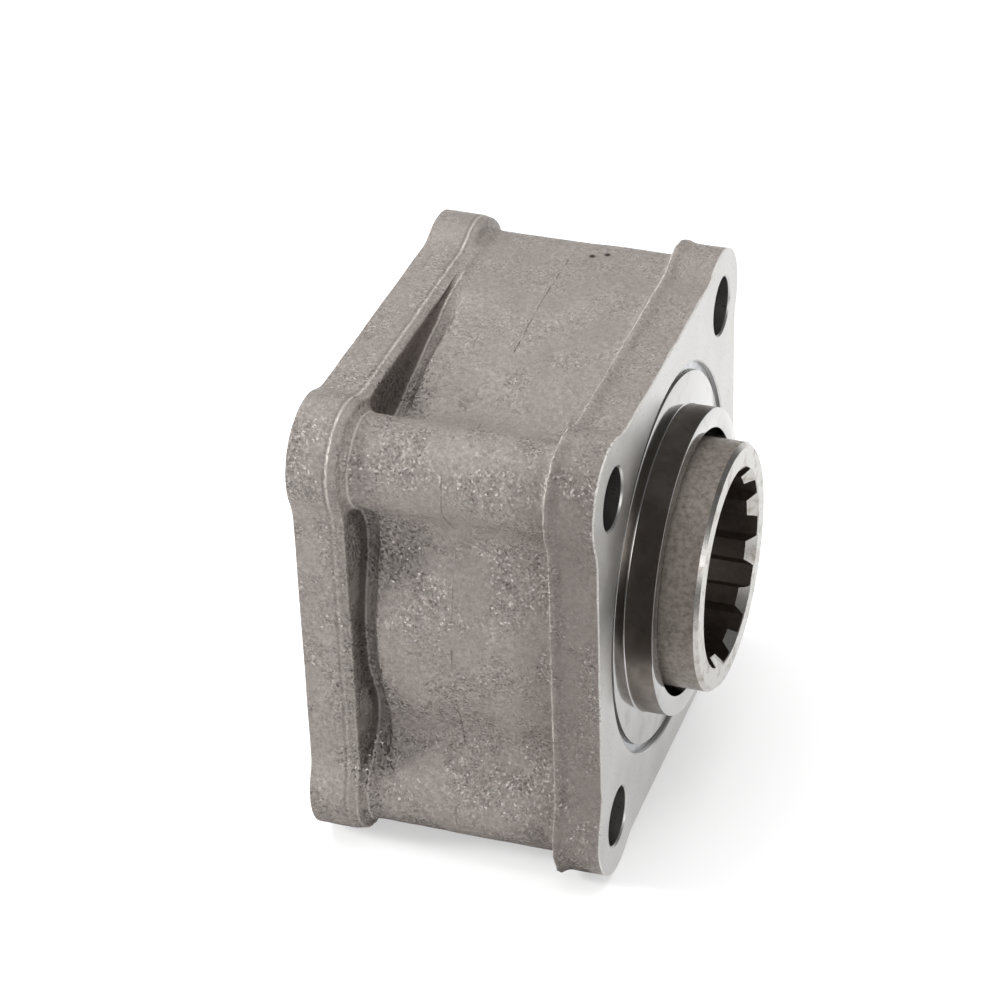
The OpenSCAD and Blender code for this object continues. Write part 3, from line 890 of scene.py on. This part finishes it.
# %% Races and balls
def make_race(name, inner_r, outer_r, x_from, x_to, pitch_r, track_r):
    """A race: a ring less a torus, so its section has an arc where the track is."""
    middle = (x_from + x_to) / 2
    outside = inner_r > pitch_r
    wall = inner_r if outside else outer_r
    half = math.sqrt(track_r ** 2 - (wall - pitch_r) ** 2)
    start = math.atan2(half, abs(wall - pitch_r))
    way = 1 if outside else -1
    arc = [(pitch_r + way * track_r * math.cos(start * step / 8),
            middle + track_r * math.sin(start * step / 8)) for step in range(-8, 9)]
    back = outer_r if outside else inner_r
    section = [(back, x_from), (wall, x_from)] + arc + [(wall, x_to), (back, x_to)]
    bm = bmesh.new()
    turned(bm, section, 160)
    soften(bm, 0.3, 60)
    return finished(name, bm, bearing_steel)


def make_balls(name, count, pitch_r, ball_r, middle):
    """Balls set round a circle at equal steps."""
    bm = bmesh.new()
    for step in range(count):
        place = (Matrix.Rotation(math.tau * step / count, 4, "X")
                 @ Matrix.Translation(Vector((middle, 0, pitch_r)) * MM))
        bmesh.ops.create_uvsphere(bm, u_segments=32, v_segments=20, radius=ball_r * MM,
                                  matrix=place)
    return finished(name, bm, bearing_steel)


SHOULDER = 0.67
TRACK = 1.04
for end, count, ball_r in (("front", 14, 4.425), ("rear", 16, 3.245)):
    x_from, x_to, outer_r = reach(end + "_outer_race")
    pitch_r = (JOURNAL_R + outer_r) / 2
    track_r = ball_r * TRACK
    gap = ball_r * SHOULDER
    outer = make_race(end + "_outer_ring", pitch_r + gap, outer_r, x_from, x_to, pitch_r, track_r)
    inner = make_race(end + "_inner_ring", JOURNAL_R, pitch_r - gap, x_from, x_to, pitch_r,
                      track_r)
    balls = make_balls(end + "_ball_set", count, pitch_r, ball_r, (x_from + x_to) / 2)
    dress(outer, "housing_body", "bearing_steel", end + "_outer_race")
    dress(inner, "hub_body", "bearing_steel", end + "_inner_race")
    dress(balls, end + "_ball_set", "bearing_steel", end + "_balls")

# %% [markdown]
# ## Small parts
# The rings, clips, cages and the seal have the right shape in CAD already. They keep their solids
# and only get their finishes.

# %% Finishes of the small parts
small_parts = {
    "snap_ring": snap_steel, "cover_o_ring": rubber, "shim_ring": turned_steel,
    "seal_case": seal_steel, "seal_lip": rubber, "seal_spring": spring_steel,
    "spacer_sleeve": turned_steel, "hub_circlip": spring_steel, "bore_circlip": spring_steel,
    "front_cage": cage_steel, "rear_cage": cage_steel}
for node, finish in small_parts.items():
    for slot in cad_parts[node].material_slots:
        slot.material = finish
    print(node, "->", finish.name)

# %% [markdown]
# ## Floor
# The part lies on white paper. The paper is a large plane at the lowest point of the casting.
# Nearly half of what the camera sees of it is its own glow, so the paper comes out white and the
# contact shadow stays soft. A picture of white paper could be cut out afterwards instead, but then
# the steel would have nothing white to mirror.

# %% Floor
GLOW_SHARE = 0.48
FLOOR_HALF = 3


def studio_object(name, bm, material):
    """An object that belongs to the studio and not to the part."""
    mesh = bpy.data.meshes.new(name)
    bm.to_mesh(mesh)
    bm.free()
    mesh.materials.append(material)
    thing = bpy.data.objects.new(name, mesh)
    bpy.context.scene.collection.objects.link(thing)
    return thing


def make_paper():
    material, tree, shader, place = new_material("white_paper")
    fibre = speckle(tree, place, 30, 2, 0.5)
    tint = blend(tree, fibre, colour("#fafafa"), colour("#fcfcfc"))
    tree.links.new(tint, shader.inputs["Base Color"])
    shader.inputs["Roughness"].default_value = 0.9
    shader.inputs["Specular IOR Level"].default_value = 0.1
    path = add_node(tree, "ShaderNodeLightPath")
    seen = larger(tree, path.outputs["Is Camera Ray"], path.outputs["Is Glossy Ray"])
    seen = larger(tree, seen, path.outputs["Is Transmission Ray"])
    glow = add_node(tree, "ShaderNodeEmission", {"Color": (1, 1, 1, 1), "Strength": 1.0})
    mixed = add_node(tree, "ShaderNodeMixShader", {
        0: times(tree, seen, GLOW_SHARE), 1: shader.outputs[0], 2: glow.outputs[0]})
    output = next(node for node in tree.nodes if node.bl_idname == "ShaderNodeOutputMaterial")
    tree.links.new(mixed.outputs[0], output.inputs["Surface"])
    return material


def make_floor(level):
    bm = bmesh.new()
    bmesh.ops.create_grid(bm, x_segments=1, y_segments=1, size=FLOOR_HALF,
                          matrix=Matrix.Translation((0, 0, level)))
    studio_object("floor", bm, make_paper())


floor_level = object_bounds()[0][2]
make_floor(floor_level)
print("floor at", round(floor_level / MM, 2), "mm")

# %% [markdown]
# ## Light
# A product table has one big soft light above and white all round. The world is white to the
# camera, dimmer as a lamp, and dark to mirrors, because the round steel in the photograph mirrors
# a dark room. The big lamp is hidden from mirrors for the same reason. Two small lamps on the left
# make the dents glitter, and one on the right lights the chamfers. Dark cards stand and lie on the
# near side: bright metal needs something dark to mirror, or it looks like plaster.

# %% World and lamps
SKY_LIGHT = 0.78
MIRROR_LOSS = 0.6


def make_world():
    world = bpy.data.worlds.new("studio")
    bpy.context.scene.world = world
    world.use_nodes = True
    tree = world.node_tree
    tree.nodes.clear()
    path = add_node(tree, "ShaderNodeLightPath")
    strength = scaled(tree, path.outputs["Is Camera Ray"], 1 - SKY_LIGHT, SKY_LIGHT)
    strength = scaled(tree, path.outputs["Is Glossy Ray"], -MIRROR_LOSS, strength)
    sky = add_node(tree, "ShaderNodeBackground", {"Color": (1, 1, 1, 1), "Strength": strength})
    add_node(tree, "ShaderNodeOutputWorld", {"Surface": sky.outputs[0]})


def make_lamp(name, place, aim, size, power):
    lamp = bpy.data.objects.new(name, bpy.data.lights.new(name, "AREA"))
    bpy.context.scene.collection.objects.link(lamp)
    lamp.data.shape = "SQUARE"
    lamp.data.size = size
    lamp.data.energy = power
    lamp.location = place
    lamp.rotation_euler = (Vector(aim) - Vector(place)).to_track_quat("-Z", "Y").to_euler()
    return lamp


def make_card(name, corner, across, down):
    """A dark card that only mirrors see: one corner and its two edges."""
    bm = bmesh.new()
    start = Vector(corner)
    verts = [bm.verts.new(start + Vector(across) * u + Vector(down) * v)
             for u, v in ((0, 0), (1, 0), (1, 1), (0, 1))]
    bm.faces.new(verts)
    material, _, shader, _ = new_material(name + "_grey")
    shader.inputs["Base Color"].default_value = colour("#484644")
    shader.inputs["Roughness"].default_value = 1.0
    shader.inputs["Specular IOR Level"].default_value = 0.0
    card = studio_object(name, bm, material)
    card.visible_camera = False
    card.visible_diffuse = False
    card.visible_transmission = False
    card.visible_shadow = False


make_world()
overhead = make_lamp("overhead", (0, 0.1, 1.1), aim=(0, 0, 0), size=0.9, power=7.5)
overhead.visible_glossy = False
make_lamp("left", (-0.5, -0.22, 0.16), aim=(-0.03, 0, 0), size=0.11, power=2.8)
make_lamp("upper_left", (-0.5, 0.18, 0.4), aim=(-0.03, 0, 0), size=0.11, power=1.6)
make_lamp("right", (0.9, -0.35, 0.3), aim=(0, 0, 0), size=0.5, power=2.0)
card_level = floor_level + 0.001
make_card("near_floor_card", (-1.5, -1.0, card_level), across=(3, 0, 0), down=(0, 0.93, 0))
# Painted shadow for mirrors: this card darkens the glowing paper under the part, where the part's
# shadow falls.
make_card("under_shadow_card", (-0.1, -0.08, card_level), across=(0.096, 0, 0), down=(0, 0.1, 0))
make_card("near_wall_card", (-1.5, -0.75, floor_level), across=(3, 0, 0), down=(0, 0.25, 1.3))
print("four lamps, three cards")
